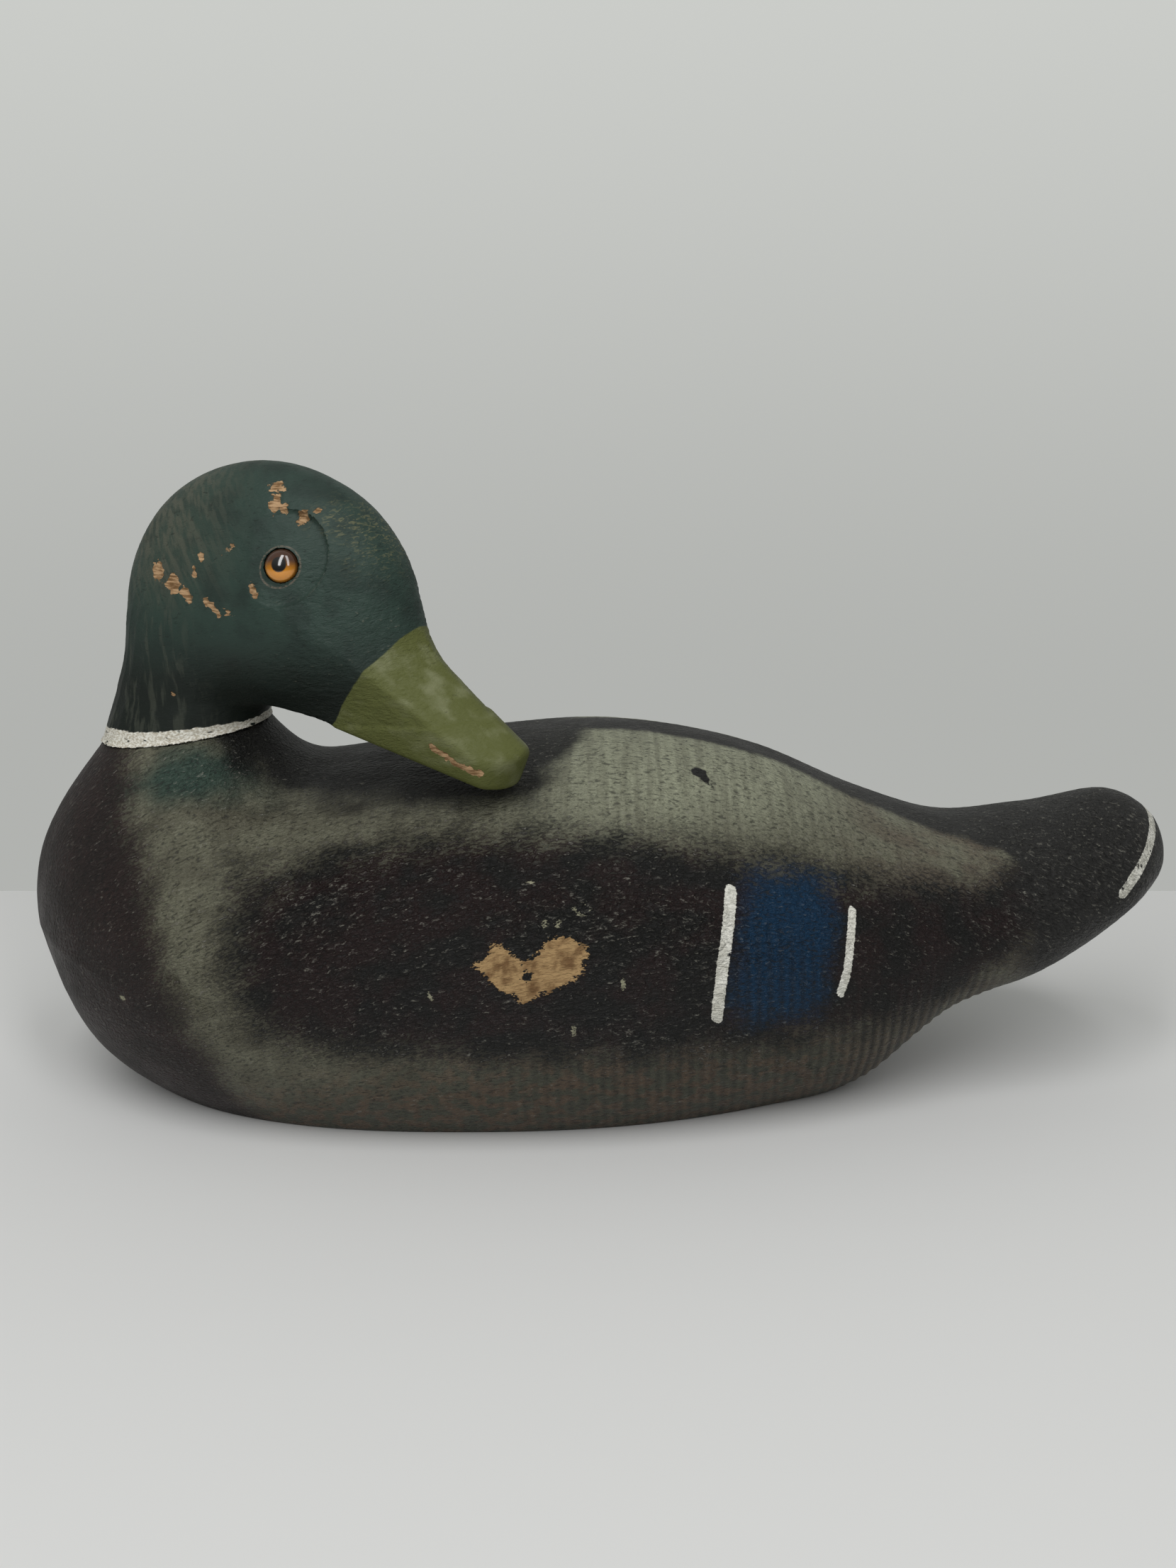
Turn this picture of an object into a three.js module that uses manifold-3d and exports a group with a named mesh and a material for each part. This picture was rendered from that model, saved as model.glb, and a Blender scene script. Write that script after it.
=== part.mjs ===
// A carved and painted wooden mallard drake decoy with its head turned back over its left side.
// Millimetres, +Z up. The flat underside lies on z = 0, the breast points to -X and the tail to +X.
// The duck's left side, over which the bill lies, faces -Y.
import * as THREE from 'three';
import * as BufferGeometryUtils from 'three/addons/utils/BufferGeometryUtils.js';
import Module from 'manifold-3d';

const wasm = await Module();
wasm.setup();

// Driving dimensions
const BODY_LENGTH = 366;
const GAP = 0.3; // clearance where two pieces meet
const THIN = 0.01; // stands for zero where a size is divided by

// Body: the height of the back, of the widest line and of the bottom, and the half width, along X.
// A bottom below zero is where the carving is cut off flat to stand on.
const BODY_STATIONS = [
  { x: -183, back: 58, widest: 58, half: 0, bottom: 58 },
  { x: -177, back: 82.5, widest: 57, half: 18, bottom: 35 },
  { x: -160, back: 100.5, widest: 55.5, half: 42, bottom: 8 },
  { x: -130, back: 105, widest: 54, half: 62, bottom: -9 },
  { x: -90, back: 105.5, widest: 53, half: 72.5, bottom: -18.5 },
  { x: -40, back: 113, widest: 53, half: 76, bottom: -20.5 },
  { x: 5, back: 116, widest: 53, half: 74, bottom: -18 },
  { x: 50, back: 108, widest: 53, half: 65.5, bottom: -10.5 },
  { x: 85, back: 93.5, widest: 54.5, half: 54.5, bottom: -1 },
  { x: 110, back: 86, widest: 57.5, half: 45, bottom: 21.5 },
  { x: 140, back: 88.5, widest: 63, half: 38.5, bottom: 35 },
  { x: 165, back: 94, widest: 69, half: 28.5, bottom: 52.5 },
  { x: 178, back: 87, widest: 72, half: 14.5, bottom: 63.5 },
  { x: 183, back: 73, widest: 73, half: 0, bottom: 73 },
];
const BODY_RINGS = 46;
const BODY_SPOKES = 48;
const KEEL_SPOKES = 6; // spokes on each side between the middle and the edge of the underside
const KEEL_LEAN = THREE.MathUtils.degToRad(26); // the least that they fan out on each side

// Neck joint: the sloping plane between the neck shelf and the head
const NECK_X = -130.9;
const NECK_RADIUS = 26;
const JOINT_HEIGHT = 115.3; // at the neck's middle
const JOINT_SLOPE = 0.13; // rise for each millimetre towards the tail
const SHELF_SPREAD = 0.75; // how fast the neck shelf widens downwards, at its top
const SHELF_REACH = 40; // the depth at which it widens half as fast
const SHELF_BLEND = 14;
const SHELF_FOOT = 60;

// Head, in its own frame: s runs from the neck's middle towards the bill, v to the side, z up
const HEAD_TURN = THREE.MathUtils.degToRad(23); // bill swung from the tail towards the duck's left
const SKULL = { s: 34.5, z: 155.5, length: 49, up: 44.5, down: 27, fullness: 2.3 };
const CHEEK_HALF = 26;
const CROWN_HALF = 20.5;
const CHEEK_HEIGHT = 148;
const CROWN_HEIGHT = 196;
const SKULL_SCALE = 28.6; // turns the skull's formula into millimetres near its surface
const NECK_TOP = { s: 12.5, z: 128, long: 25.5, wide: 23.5, rise: 42 }; // half axes of its domed top
const NECK_LEAN = 40; // the height over which the neck leans forward to there
const NECK_BLEND = 10;
const FACE_BLEND = 9;
const HEAD_CELL = 4.2; // size of the facets
const HEAD_LOW = [-8 * HEAD_CELL, -8 * HEAD_CELL, 97]; // the block that holds the head
const HEAD_HIGH = [30 * HEAD_CELL, 8 * HEAD_CELL, 206];

// Bill: a tapering bar with two sloping upper faces, two undercut sides and a flat bottom
const BILL_ROOT = { s: 58, z: 139 };
const BILL_END = { s: 118, z: 115.5 };
const BILL_TOP = [31.5, 6]; // height over the bar's axis, at the root and at the end
const BILL_DIP = 4;
const BILL_BOTTOM = [15.5, 8.5];
const BILL_HALF = [19.5, 13.5];
const BILL_EDGE = [13, -3]; // height of the side edges over the axis
const BILL_ROOF = 0.9; // share of the half width over which an upper face falls to the edge
const BILL_UNDERCUT = THREE.MathUtils.degToRad(72);
const BILL_ROUND = { ridge: 6, edge: 1.2, bottom: 2, root: 8 }; // how far its edges are rounded
const RIDGE_FLAT = 1; // how much the ridge is planed off
const BILL_TIP_RADIUS = 12.5;
const BILL_INSIDE = 22; // how far the bar runs back into the face

// Eyes, and the gouge cut round each of them, which goes deeper towards the bill
const EYE = { s: 51.3, z: 172, radius: 5, half: 3.4, sunk: 1.3 };
const SCOOP = { s: 51, z: 174, radius: 13, depth: 2.4, start: 42, rim: 1.4 };

const PAINT = { body: 0x4a443c, head: 0x26332f, eye: 0xb5761c };

const clamp = THREE.MathUtils.clamp;
const lerp = THREE.MathUtils.lerp;

function smoothMin(a, b, reach) {
  const h = clamp(0.5 + (0.5 * (b - a)) / reach, 0, 1);
  return lerp(b, a, h) - reach * h * (1 - h);
}

function smoothMax(a, b, reach) {
  return -smoothMin(-a, -b, reach);
}

// The angle round an end-on circle as long as the body, so that both ends close smoothly.
function lengthAngle(x) {
  return Math.acos(clamp((-2 * x) / BODY_LENGTH, -1, 1));
}

// A smooth curve through one column of the stations.
function stationCurve(column) {
  const at = BODY_STATIONS.map((station) => lengthAngle(station.x));
  const value = BODY_STATIONS.map((station) => station[column]);
  const last = at.length - 1;
  const step = at.slice(1).map((angle, i) => angle - at[i]);
  const rise = step.map((width, i) => (value[i + 1] - value[i]) / width);
  const slope = value.map((_, i) => {
    if (i === 0 || i === last) return 0;
    return (rise[i - 1] * step[i] + rise[i] * step[i - 1]) / (step[i - 1] + step[i]);
  });
  slope[0] = 1.5 * rise[0] - 0.5 * slope[1];
  slope[last] = 1.5 * rise[last - 1] - 0.5 * slope[last - 1];
  return (angle) => {
    let i = 0;
    while (i < last - 1 && angle > at[i + 1]) i += 1;
    const t = (angle - at[i]) / step[i];
    const start = (1 + 2 * t) * (1 - t) * (1 - t) * value[i] + t * (1 - t) * (1 - t) * step[i] * slope[i];
    const end = t * t * (3 - 2 * t) * value[i + 1] - t * t * (1 - t) * step[i] * slope[i + 1];
    return start + end;
  };
}

const curves = {
  back: stationCurve('back'),
  widest: stationCurve('widest'),
  half: stationCurve('half'),
  bottom: stationCurve('bottom'),
};

function bodySection(x) {
  const angle = lengthAngle(x);
  return {
    back: curves.back(angle),
    widest: curves.widest(angle),
    half: Math.max(curves.half(angle), THIN),
    bottom: curves.bottom(angle),
  };
}

function jointHeight(x) {
  return JOINT_HEIGHT + JOINT_SLOPE * (x - NECK_X);
}

// Below zero inside the body. The neck shelf is a short stump that flares into the shoulders.
function bodyField(x, y, z, section = bodySection(x)) {
  const over = z > section.widest;
  const tall = Math.max(over ? section.back - section.widest : section.widest - section.bottom, THIN);
  const size = Math.min(section.half, tall);
  const oval = (Math.hypot(y / section.half, (z - section.widest) / tall) - 1) * size;
  const under = Math.max(jointHeight(x) - z, 0);
  const radius = NECK_RADIUS + (SHELF_SPREAD * under) / (1 + under / SHELF_REACH);
  const stump = Math.max(Math.hypot(x - NECK_X, y) - radius, SHELF_FOOT - z);
  return Math.max(smoothMin(oval, stump, SHELF_BLEND), z - jointHeight(x));
}

// How far along a ray from inside the body its surface lies.
function surfaceDistance(inside, reach) {
  let near = 0;
  let far = reach;
  for (let i = 0; i < 30; i += 1) {
    const middle = (near + far) / 2;
    if (inside(middle)) near = middle;
    else far = middle;
  }
  return (near + far) / 2;
}

// The directions of the spokes of one ring, from straight down round to straight up on one side.
// One spoke always points at the edge of the flat underside.
function spokeAngles(section) {
  let edge = 0;
  if (section.bottom < 0) {
    const cut = section.widest / (section.widest - section.bottom);
    edge = section.half * Math.sqrt(1 - cut * cut);
  }
  const lean = Math.max(Math.atan2(edge, section.widest), KEEL_LEAN);
  const upper = BODY_SPOKES / 2 - KEEL_SPOKES;
  const side = [];
  for (let i = 0; i < KEEL_SPOKES; i += 1) side.push((lean * i) / KEEL_SPOKES);
  for (let i = 0; i <= upper; i += 1) side.push(lean + ((Math.PI - lean) * i) / upper);
  return [...side, ...side.slice(1, -1).reverse().map((angle) => -angle)];
}

// A closed skin over rings of points, with one point at each end.
function skin(rings, firstPoint, lastPoint) {
  const around = rings[0].length;
  const points = [...rings.flat(), firstPoint, lastPoint];
  const faces = [];
  const lastRing = (rings.length - 1) * around;
  for (let j = 0; j < around; j += 1) {
    const next = (j + 1) % around;
    for (let i = 0; i < rings.length - 1; i += 1) {
      const row = i * around;
      faces.push(row + j, row + around + next, row + around + j, row + j, row + next, row + around + next);
    }
    faces.push(points.length - 2, next, j);
    faces.push(points.length - 1, lastRing + j, lastRing + next);
  }
  return surface(points, faces);
}

function surface(points, faces) {
  const geometry = new THREE.BufferGeometry();
  geometry.setAttribute('position', new THREE.Float32BufferAttribute(points.flat(), 3));
  geometry.setIndex(faces);
  return geometry;
}

function bodyGeometry() {
  const rings = [];
  for (let i = 1; i <= BODY_RINGS; i += 1) {
    const x = (-BODY_LENGTH / 2) * Math.cos((Math.PI * i) / (BODY_RINGS + 1));
    const section = bodySection(x);
    rings.push(
      spokeAngles(section).map((angle) => {
        const across = Math.sin(angle);
        const up = -Math.cos(angle);
        const inside = (r) => bodyField(x, r * across, section.widest + r * up, section) < 0;
        const r = surfaceDistance(inside, BODY_LENGTH);
        return [x, r * across, Math.max(section.widest + r * up, 0)];
      }),
    );
  }
  const nose = BODY_STATIONS[0];
  const tail = BODY_STATIONS[BODY_STATIONS.length - 1];
  return skin(rings, [nose.x, 0, nose.widest], [tail.x, 0, tail.widest]);
}

// Below zero inside the bill.
function billField(s, v, z) {
  const run = { s: BILL_END.s - BILL_ROOT.s, z: BILL_END.z - BILL_ROOT.z };
  const length = Math.hypot(run.s, run.z);
  const along = ((s - BILL_ROOT.s) * run.s + (z - BILL_ROOT.z) * run.z) / length;
  const over = ((z - BILL_ROOT.z) * run.s - (s - BILL_ROOT.s) * run.z) / length;
  const part = clamp(along / length, -BILL_INSIDE / length, 1);
  const dip = BILL_DIP * Math.max(part, 0) * (1 - part);
  const top = lerp(...BILL_TOP, part) - dip;
  const half = lerp(...BILL_HALF, part);
  const edge = lerp(...BILL_EDGE, part);
  const side = Math.hypot(v, RIDGE_FLAT) - half;
  const pitch = Math.atan2(top - edge, BILL_ROOF * half);
  const roof = (over - edge) * Math.cos(pitch) + side * Math.sin(pitch);
  const undercut = side * Math.sin(BILL_UNDERCUT) - (over - edge) * Math.cos(BILL_UNDERCUT);
  let field = smoothMax(over - top + RIDGE_FLAT, roof, BILL_ROUND.ridge);
  field = smoothMax(field, undercut, BILL_ROUND.edge);
  field = smoothMax(field, -over - lerp(...BILL_BOTTOM, part), BILL_ROUND.bottom);
  const round = Math.max(along - length + BILL_TIP_RADIUS, 0);
  const tip = (Math.hypot(v / half, round / BILL_TIP_RADIUS) - 1) * BILL_TIP_RADIUS;
  field = smoothMax(field, tip, BILL_ROUND.bottom);
  return smoothMax(field, -along - BILL_INSIDE, BILL_ROUND.root);
}

function headHalfWidth(z) {
  return lerp(CHEEK_HALF, CROWN_HALF, clamp((z - CHEEK_HEIGHT) / (CROWN_HEIGHT - CHEEK_HEIGHT), 0, 1));
}

function skullField(s, v, z) {
  const half = headHalfWidth(z);
  const tall = z > SKULL.z ? SKULL.up : SKULL.down;
  const profile = Math.hypot((s - SKULL.s) / SKULL.length, (z - SKULL.z) / tall) ** SKULL.fullness;
  return ((profile + Math.abs(v / half) ** SKULL.fullness) ** (1 / SKULL.fullness) - 1) * SKULL_SCALE;
}

function neckField(s, v, z) {
  const part = Math.min((z - JOINT_HEIGHT) / (NECK_TOP.z - JOINT_HEIGHT), 1);
  const middle = NECK_TOP.s * Math.min((z - JOINT_HEIGHT) / NECK_LEAN, 1);
  const long = lerp(NECK_RADIUS, NECK_TOP.long, part);
  const wide = lerp(NECK_RADIUS, NECK_TOP.wide, part);
  const above = Math.max(z - NECK_TOP.z, 0) / NECK_TOP.rise;
  return (Math.hypot((s - middle) / long, v / wide, above) - 1) * wide;
}

// How deep the gouge cut round the eye is.
function scoopDepth(s, z) {
  const ramp = clamp((s - SCOOP.start) / (SCOOP.s + SCOOP.radius - SCOOP.start), 0, 1);
  const away = Math.hypot(s - SCOOP.s, z - SCOOP.z);
  return SCOOP.depth * ramp * THREE.MathUtils.smoothstep((SCOOP.radius - away) / SCOOP.rim + 0.5, 0, 1);
}

// Below zero inside the head, in its own frame. The foot of the neck is sawn to the joint's plane.
function headField(s, v, z) {
  let field = smoothMin(skullField(s, v, z), neckField(s, v, z), NECK_BLEND);
  field = smoothMin(field, billField(s, v, z), FACE_BLEND);
  field += scoopDepth(s, z);
  const x = NECK_X + s * Math.cos(HEAD_TURN) + v * Math.sin(HEAD_TURN);
  return s < SKULL.s ? Math.max(field, jointHeight(x) + GAP - z) : field;
}

// Surface nets: one point in each cell that the surface crosses, one quad over each crossed edge.
function netGeometry(field, low, high, cell) {
  const count = low.map((value, k) => Math.ceil((high[k] - value) / cell) + 1);
  const place = (i, j, k) => low.map((value, axis) => value + cell * [i, j, k][axis]);
  const index = (i, j, k) => (i * count[1] + j) * count[2] + k;
  const value = new Float64Array(count[0] * count[1] * count[2]);
  for (let i = 0; i < count[0]; i += 1) {
    for (let j = 0; j < count[1]; j += 1) {
      for (let k = 0; k < count[2]; k += 1) value[index(i, j, k)] = field(...place(i, j, k));
    }
  }
  const points = [];
  const pointOf = new Map();
  const cellPoint = (i, j, k) => {
    const key = index(i, j, k);
    if (pointOf.has(key)) return pointOf.get(key);
    const sum = new THREE.Vector3();
    let crossings = 0;
    for (let axis = 0; axis < 3; axis += 1) {
      for (let corner = 0; corner < 4; corner += 1) {
        const start = [i, j, k];
        start[(axis + 1) % 3] += corner & 1;
        start[(axis + 2) % 3] += corner >> 1;
        const end = [...start];
        end[axis] += 1;
        const a = value[index(...start)];
        const b = value[index(...end)];
        if (a < 0 === b < 0) continue;
        const from = new THREE.Vector3(...place(...start));
        sum.add(from.lerp(new THREE.Vector3(...place(...end)), a / (a - b)));
        crossings += 1;
      }
    }
    points.push(sum.divideScalar(crossings).toArray());
    pointOf.set(key, points.length - 1);
    return points.length - 1;
  };
  const faces = [];
  for (let i = 1; i < count[0] - 1; i += 1) {
    for (let j = 1; j < count[1] - 1; j += 1) {
      for (let k = 1; k < count[2] - 1; k += 1) {
        for (let axis = 0; axis < 3; axis += 1) {
          const end = [i, j, k];
          end[axis] += 1;
          const a = value[index(i, j, k)];
          const b = value[index(...end)];
          if (a < 0 === b < 0) continue;
          const around = [[-1, -1], [0, -1], [0, 0], [-1, 0]].map(([p, q]) => {
            const spot = [i, j, k];
            spot[(axis + 1) % 3] += p;
            spot[(axis + 2) % 3] += q;
            return cellPoint(...spot);
          });
          if (b < 0) around.reverse();
          faces.push(around[0], around[1], around[2], around[0], around[2], around[3]);
        }
      }
    }
  }
  return surface(points, faces);
}

function solidOf(geometry) {
  const bare = geometry.clone();
  bare.deleteAttribute('normal');
  bare.deleteAttribute('uv');
  const merged = BufferGeometryUtils.mergeVertices(bare);
  const vertProperties = new Float32Array(merged.attributes.position.array);
  const triVerts = new Uint32Array(merged.index.array);
  return new wasm.Manifold(new wasm.Mesh({ numProp: 3, vertProperties, triVerts }));
}

function geometryOf(solid) {
  const mesh = solid.getMesh();
  const geometry = new THREE.BufferGeometry();
  geometry.setAttribute('position', new THREE.BufferAttribute(new Float32Array(mesh.vertProperties), 3));
  geometry.setIndex(new THREE.BufferAttribute(new Uint32Array(mesh.triVerts), 1));
  return geometry;
}

// Where the wood's surface lies on one side of the head, and which way it faces there.
// The head looks back over the body, so its own right side, -1, is the one that faces -Y.
function eyeSeat(side) {
  const inside = (v) => headField(EYE.s, side * v, EYE.z) < 0;
  const point = new THREE.Vector3(EYE.s, side * surfaceDistance(inside, 2 * CHEEK_HALF), EYE.z);
  const slope = [0, 1, 2].map((axis) => {
    const ahead = point.clone().setComponent(axis, point.getComponent(axis) + EYE.half);
    const behind = point.clone().setComponent(axis, point.getComponent(axis) - EYE.half);
    return headField(...ahead) - headField(...behind);
  });
  return { point, outward: new THREE.Vector3(...slope).normalize() };
}

// A glass eye is a round lens, sunk a little into the wood.
function eyeGeometry(side, grow = 0) {
  const { point, outward } = eyeSeat(side);
  const lens = new THREE.SphereGeometry(1, 16, 10);
  lens.rotateX(Math.PI / 2);
  lens.scale(EYE.radius + grow, EYE.radius + grow, EYE.half + grow);
  lens.applyQuaternion(new THREE.Quaternion().setFromUnitVectors(new THREE.Vector3(0, 0, 1), outward));
  const middle = point.addScaledVector(outward, -EYE.sunk);
  return lens.translate(middle.x, middle.y, middle.z);
}

function headGeometry() {
  const net = netGeometry(headField, HEAD_LOW, HEAD_HIGH, HEAD_CELL);
  const sockets = [-1, 1].map((side) => solidOf(eyeGeometry(side, GAP)));
  return geometryOf(sockets.reduce((head, socket) => head.subtract(socket), solidOf(net)));
}

function piece(name, geometry, color, roughness) {
  const material = new THREE.MeshStandardMaterial({ color, roughness, metalness: 0 });
  const mesh = new THREE.Mesh(geometry, material);
  mesh.name = name;
  return mesh;
}

const head = new THREE.Group();
head.position.x = NECK_X;
head.rotation.z = -HEAD_TURN;
head.add(piece('head', headGeometry(), PAINT.head, 0.7));
head.add(piece('eye_right', eyeGeometry(-1), PAINT.eye, 0.1));
head.add(piece('eye_left', eyeGeometry(1), PAINT.eye, 0.1));

const decoy = new THREE.Group();
decoy.add(piece('body', bodyGeometry(), PAINT.body, 0.8));
decoy.add(head);

export default decoy;
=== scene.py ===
"""The looks of a carved and painted wooden mallard drake decoy with its head turned back.

The wood is modelled in millimetres from the same measures as the solids, with the machine's ribs, the
wrinkled paint and the chips cut into it. Paint is laid on by fields, each of which says how many
millimetres inside a painted area a point of the surface lies.
"""

import itertools
import math

import bpy
import numpy as np
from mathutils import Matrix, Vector


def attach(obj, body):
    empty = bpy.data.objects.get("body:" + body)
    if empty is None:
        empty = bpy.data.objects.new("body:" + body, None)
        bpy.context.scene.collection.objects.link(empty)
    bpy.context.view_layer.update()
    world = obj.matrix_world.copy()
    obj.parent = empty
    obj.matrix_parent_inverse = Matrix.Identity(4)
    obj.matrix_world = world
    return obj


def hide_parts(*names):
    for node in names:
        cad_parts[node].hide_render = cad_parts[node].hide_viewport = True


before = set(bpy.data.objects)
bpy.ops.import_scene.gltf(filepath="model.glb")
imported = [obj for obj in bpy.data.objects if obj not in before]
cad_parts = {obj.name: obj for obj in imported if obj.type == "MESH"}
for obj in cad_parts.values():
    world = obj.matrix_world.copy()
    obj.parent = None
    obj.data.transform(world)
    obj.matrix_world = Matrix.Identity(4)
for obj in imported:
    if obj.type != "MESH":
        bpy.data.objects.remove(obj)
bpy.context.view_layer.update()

MM = 0.001
THIN = 0.01

# Body, in millimetres: +X to the tail, -Y to the duck's left, +Z up
BODY_LENGTH = 366.0
BODY_STATIONS = np.array([  # x, height of the back, of the widest line, half width, height of the bottom
    (-183, 58, 58, 0, 58),
    (-177, 82.5, 57, 18, 35),
    (-160, 100.5, 55.5, 42, 8),
    (-130, 105, 54, 62, -9),
    (-90, 105.5, 53, 72.5, -18.5),
    (-40, 113, 53, 76, -20.5),
    (5, 116, 53, 74, -18),
    (50, 108, 53, 65.5, -10.5),
    (85, 93.5, 54.5, 54.5, -1),
    (110, 86, 57.5, 45, 21.5),
    (140, 88.5, 63, 38.5, 35),
    (165, 94, 69, 28.5, 52.5),
    (178, 87, 72, 14.5, 63.5),
    (183, 73, 73, 0, 73),
])
BODY_RINGS = 470
KEEL_SPOKES = 8
SIDE_SPOKES = 96
KEEL_LEAN = math.radians(26)

# Neck joint and neck shelf
NECK_X = -130.9
NECK_RADIUS = 26.0
JOINT_HEIGHT = 115.3
JOINT_SLOPE = 0.13
SHELF_SPREAD = 0.75
SHELF_REACH = 40.0
SHELF_BLEND = 14.0
SHELF_FOOT = 60.0
GAP = 0.3

# Head, in its own frame: s from the neck's middle towards the bill, v to the side, z up
HEAD_TURN = math.radians(23)
SKULL_S, SKULL_Z, SKULL_LENGTH, SKULL_UP, SKULL_DOWN, SKULL_FULLNESS = 34.5, 155.5, 49.0, 44.5, 27.0, 2.3
SKULL_SCALE = 28.6
CHEEK_HALF, CROWN_HALF = 26.0, 20.5
CHEEK_HEIGHT, CROWN_HEIGHT = 148.0, 196.0
NECK_TOP_S, NECK_TOP_Z, NECK_TOP_LONG, NECK_TOP_WIDE, NECK_TOP_RISE = 12.5, 128.0, 25.5, 23.5, 42.0
NECK_LEAN = 40.0
NECK_BLEND = 10.0
FACE_BLEND = 9.0
HEAD_CELL = 0.64
HEAD_SANDED = 0.3
HEAD_LOW = (-33.6, -33.6, 97.0)
HEAD_HIGH = (126.0, 33.6, 206.0)

# Bill
BILL_ROOT = (58.0, 139.0)
BILL_END = (118.0, 115.5)
BILL_TOP = (31.5, 6.0)
BILL_DIP = 4.0
BILL_BOTTOM = (15.5, 8.5)
BILL_HALF = (19.5, 13.5)
BILL_EDGE = (13.0, -3.0)
BILL_ROOF = 0.9
BILL_UNDERCUT = math.radians(72)
BILL_ROUND_RIDGE, BILL_ROUND_EDGE, BILL_ROUND_BOTTOM, BILL_ROUND_ROOT = 6.0, 1.2, 2.0, 8.0
RIDGE_FLAT = 1.0
BILL_TIP_RADIUS = 12.5
BILL_INSIDE = 22.0

# Eyes and the gouge round them
EYE_S, EYE_Z, EYE_RADIUS, EYE_HALF, EYE_SUNK = 51.3, 172.0, 5.0, 3.4, 1.3
SCOOP_S, SCOOP_Z, SCOOP_RADIUS, SCOOP_DEPTH, SCOOP_START, SCOOP_RIM = 51.0, 174.0, 13.0, 2.4, 42.0, 1.4
PUPIL_RADIUS = 2.2

# The ribs that the carving machine left
RIB_PITCH = 3.3

# Camera and room
PHOTO_WIDTH = 1659
FOCAL_PIXELS = 2300
CAMERA_PLACE = (-0.0035, -0.505, 0.2386)
CAMERA_DOWN = math.radians(15.76)
FLOOR_BEHIND = 0.169


def lerp(a, b, part):
    return a + (b - a) * part


def smooth_min(a, b, reach):
    h = np.clip(0.5 + 0.5 * (b - a) / reach, 0, 1)
    return lerp(b, a, h) - reach * h * (1 - h)


def smooth_max(a, b, reach):
    return -smooth_min(-a, -b, reach)


def smooth_step(value, low, high):
    t = np.clip((value - low) / (high - low), 0, 1)
    return t * t * (3 - 2 * t)


def lattice(whole, seed):
    """A repeatable random number from -1 to 1 for each whole-number place."""
    n = whole[..., 0] * 73856093 ^ whole[..., 1] * 19349663 ^ whole[..., 2] * 83492791 ^ seed * 2654435761
    n = (n ^ (n >> 13)) * 1274126177
    return ((n >> 7) & 0xFFFF) / 32767.5 - 1


def noise(points, size, seed=0):
    """Smooth lumps from -1 to 1, of that size in millimetres along each axis."""
    q = points / np.asarray(size, float)
    whole = np.floor(q).astype(np.int64)
    f = q - whole
    f = f * f * (3 - 2 * f)
    total = np.zeros(len(points))
    for corner in itertools.product((0, 1), repeat=3):
        weight = np.prod(np.where(corner, f, 1 - f), axis=-1)
        total += weight * lattice(whole + np.array(corner), seed)
    return total


def length_angle(x):
    return np.arccos(np.clip(-2 * x / BODY_LENGTH, -1, 1))


def station_curve(column):
    """A smooth curve through one column of the stations, which closes smoothly at both ends."""
    at = length_angle(BODY_STATIONS[:, 0])
    value = BODY_STATIONS[:, column]
    step = np.diff(at)
    rise = np.diff(value) / step
    slope = np.empty_like(value)
    slope[1:-1] = (rise[:-1] * step[1:] + rise[1:] * step[:-1]) / (step[:-1] + step[1:])
    slope[0] = 1.5 * rise[0] - 0.5 * slope[1]
    slope[-1] = 1.5 * rise[-1] - 0.5 * slope[-2]

    def curve(x):
        angle = length_angle(x)
        i = np.clip(np.searchsorted(at, angle) - 1, 0, len(step) - 1)
        t = (angle - at[i]) / step[i]
        start = (1 + 2 * t) * (1 - t) ** 2 * value[i] + t * (1 - t) ** 2 * step[i] * slope[i]
        return start + t * t * (3 - 2 * t) * value[i + 1] - t * t * (1 - t) * step[i] * slope[i + 1]

    return curve


back_curve = station_curve(1)
widest_curve = station_curve(2)
half_curve = station_curve(3)
bottom_curve = station_curve(4)


def joint_height(x):
    return JOINT_HEIGHT + JOINT_SLOPE * (x - NECK_X)


def body_field(x, y, z):
    """Below zero inside the body."""
    back, widest, bottom = back_curve(x), widest_curve(x), bottom_curve(x)
    half = np.maximum(half_curve(x), THIN)
    tall = np.maximum(np.where(z > widest, back - widest, widest - bottom), THIN)
    oval = (np.hypot(y / half, (z - widest) / tall) - 1) * np.minimum(half, tall)
    under = np.maximum(joint_height(x) - z, 0)
    radius = NECK_RADIUS + SHELF_SPREAD * under / (1 + under / SHELF_REACH)
    stump = np.maximum(np.hypot(x - NECK_X, y) - radius, SHELF_FOOT - z)
    return np.maximum(smooth_min(oval, stump, SHELF_BLEND), z - joint_height(x))


def ring_places():
    """Even steps along the body that close up towards both ends."""
    evenness = 12
    u = np.linspace(-1, 1, BODY_RINGS + 2)[1:-1]
    return BODY_LENGTH / 2 * u * (1 + (1 - np.abs(u) ** evenness) / evenness)


def body_rings():
    """The points of each ring round the body, starting straight below its middle."""
    x = ring_places()
    widest, bottom = widest_curve(x), bottom_curve(x)
    cut = widest / np.maximum(widest - bottom, widest)
    edge = half_curve(x) * np.sqrt(np.maximum(1 - cut**2, 0))
    lean = np.maximum(np.arctan2(edge, widest), KEEL_LEAN)[:, None]
    keel = lean * np.arange(KEEL_SPOKES) / KEEL_SPOKES
    side = lean + (math.pi - lean) * np.arange(SIDE_SPOKES + 1) / SIDE_SPOKES
    one_side = np.concatenate([keel, side], axis=1)
    angle = np.concatenate([one_side, -one_side[:, -2:0:-1]], axis=1)
    across, up = np.sin(angle), -np.cos(angle)
    near, far = np.zeros_like(angle), np.full_like(angle, BODY_LENGTH)
    for _ in range(34):
        middle = (near + far) / 2
        inside = body_field(x[:, None], middle * across, widest[:, None] + middle * up) < 0
        near, far = np.where(inside, middle, near), np.where(inside, far, middle)
    height = np.maximum(widest[:, None] + near * up, 0)
    return np.stack([x[:, None] + 0 * angle, near * across, height], axis=-1)


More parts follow.
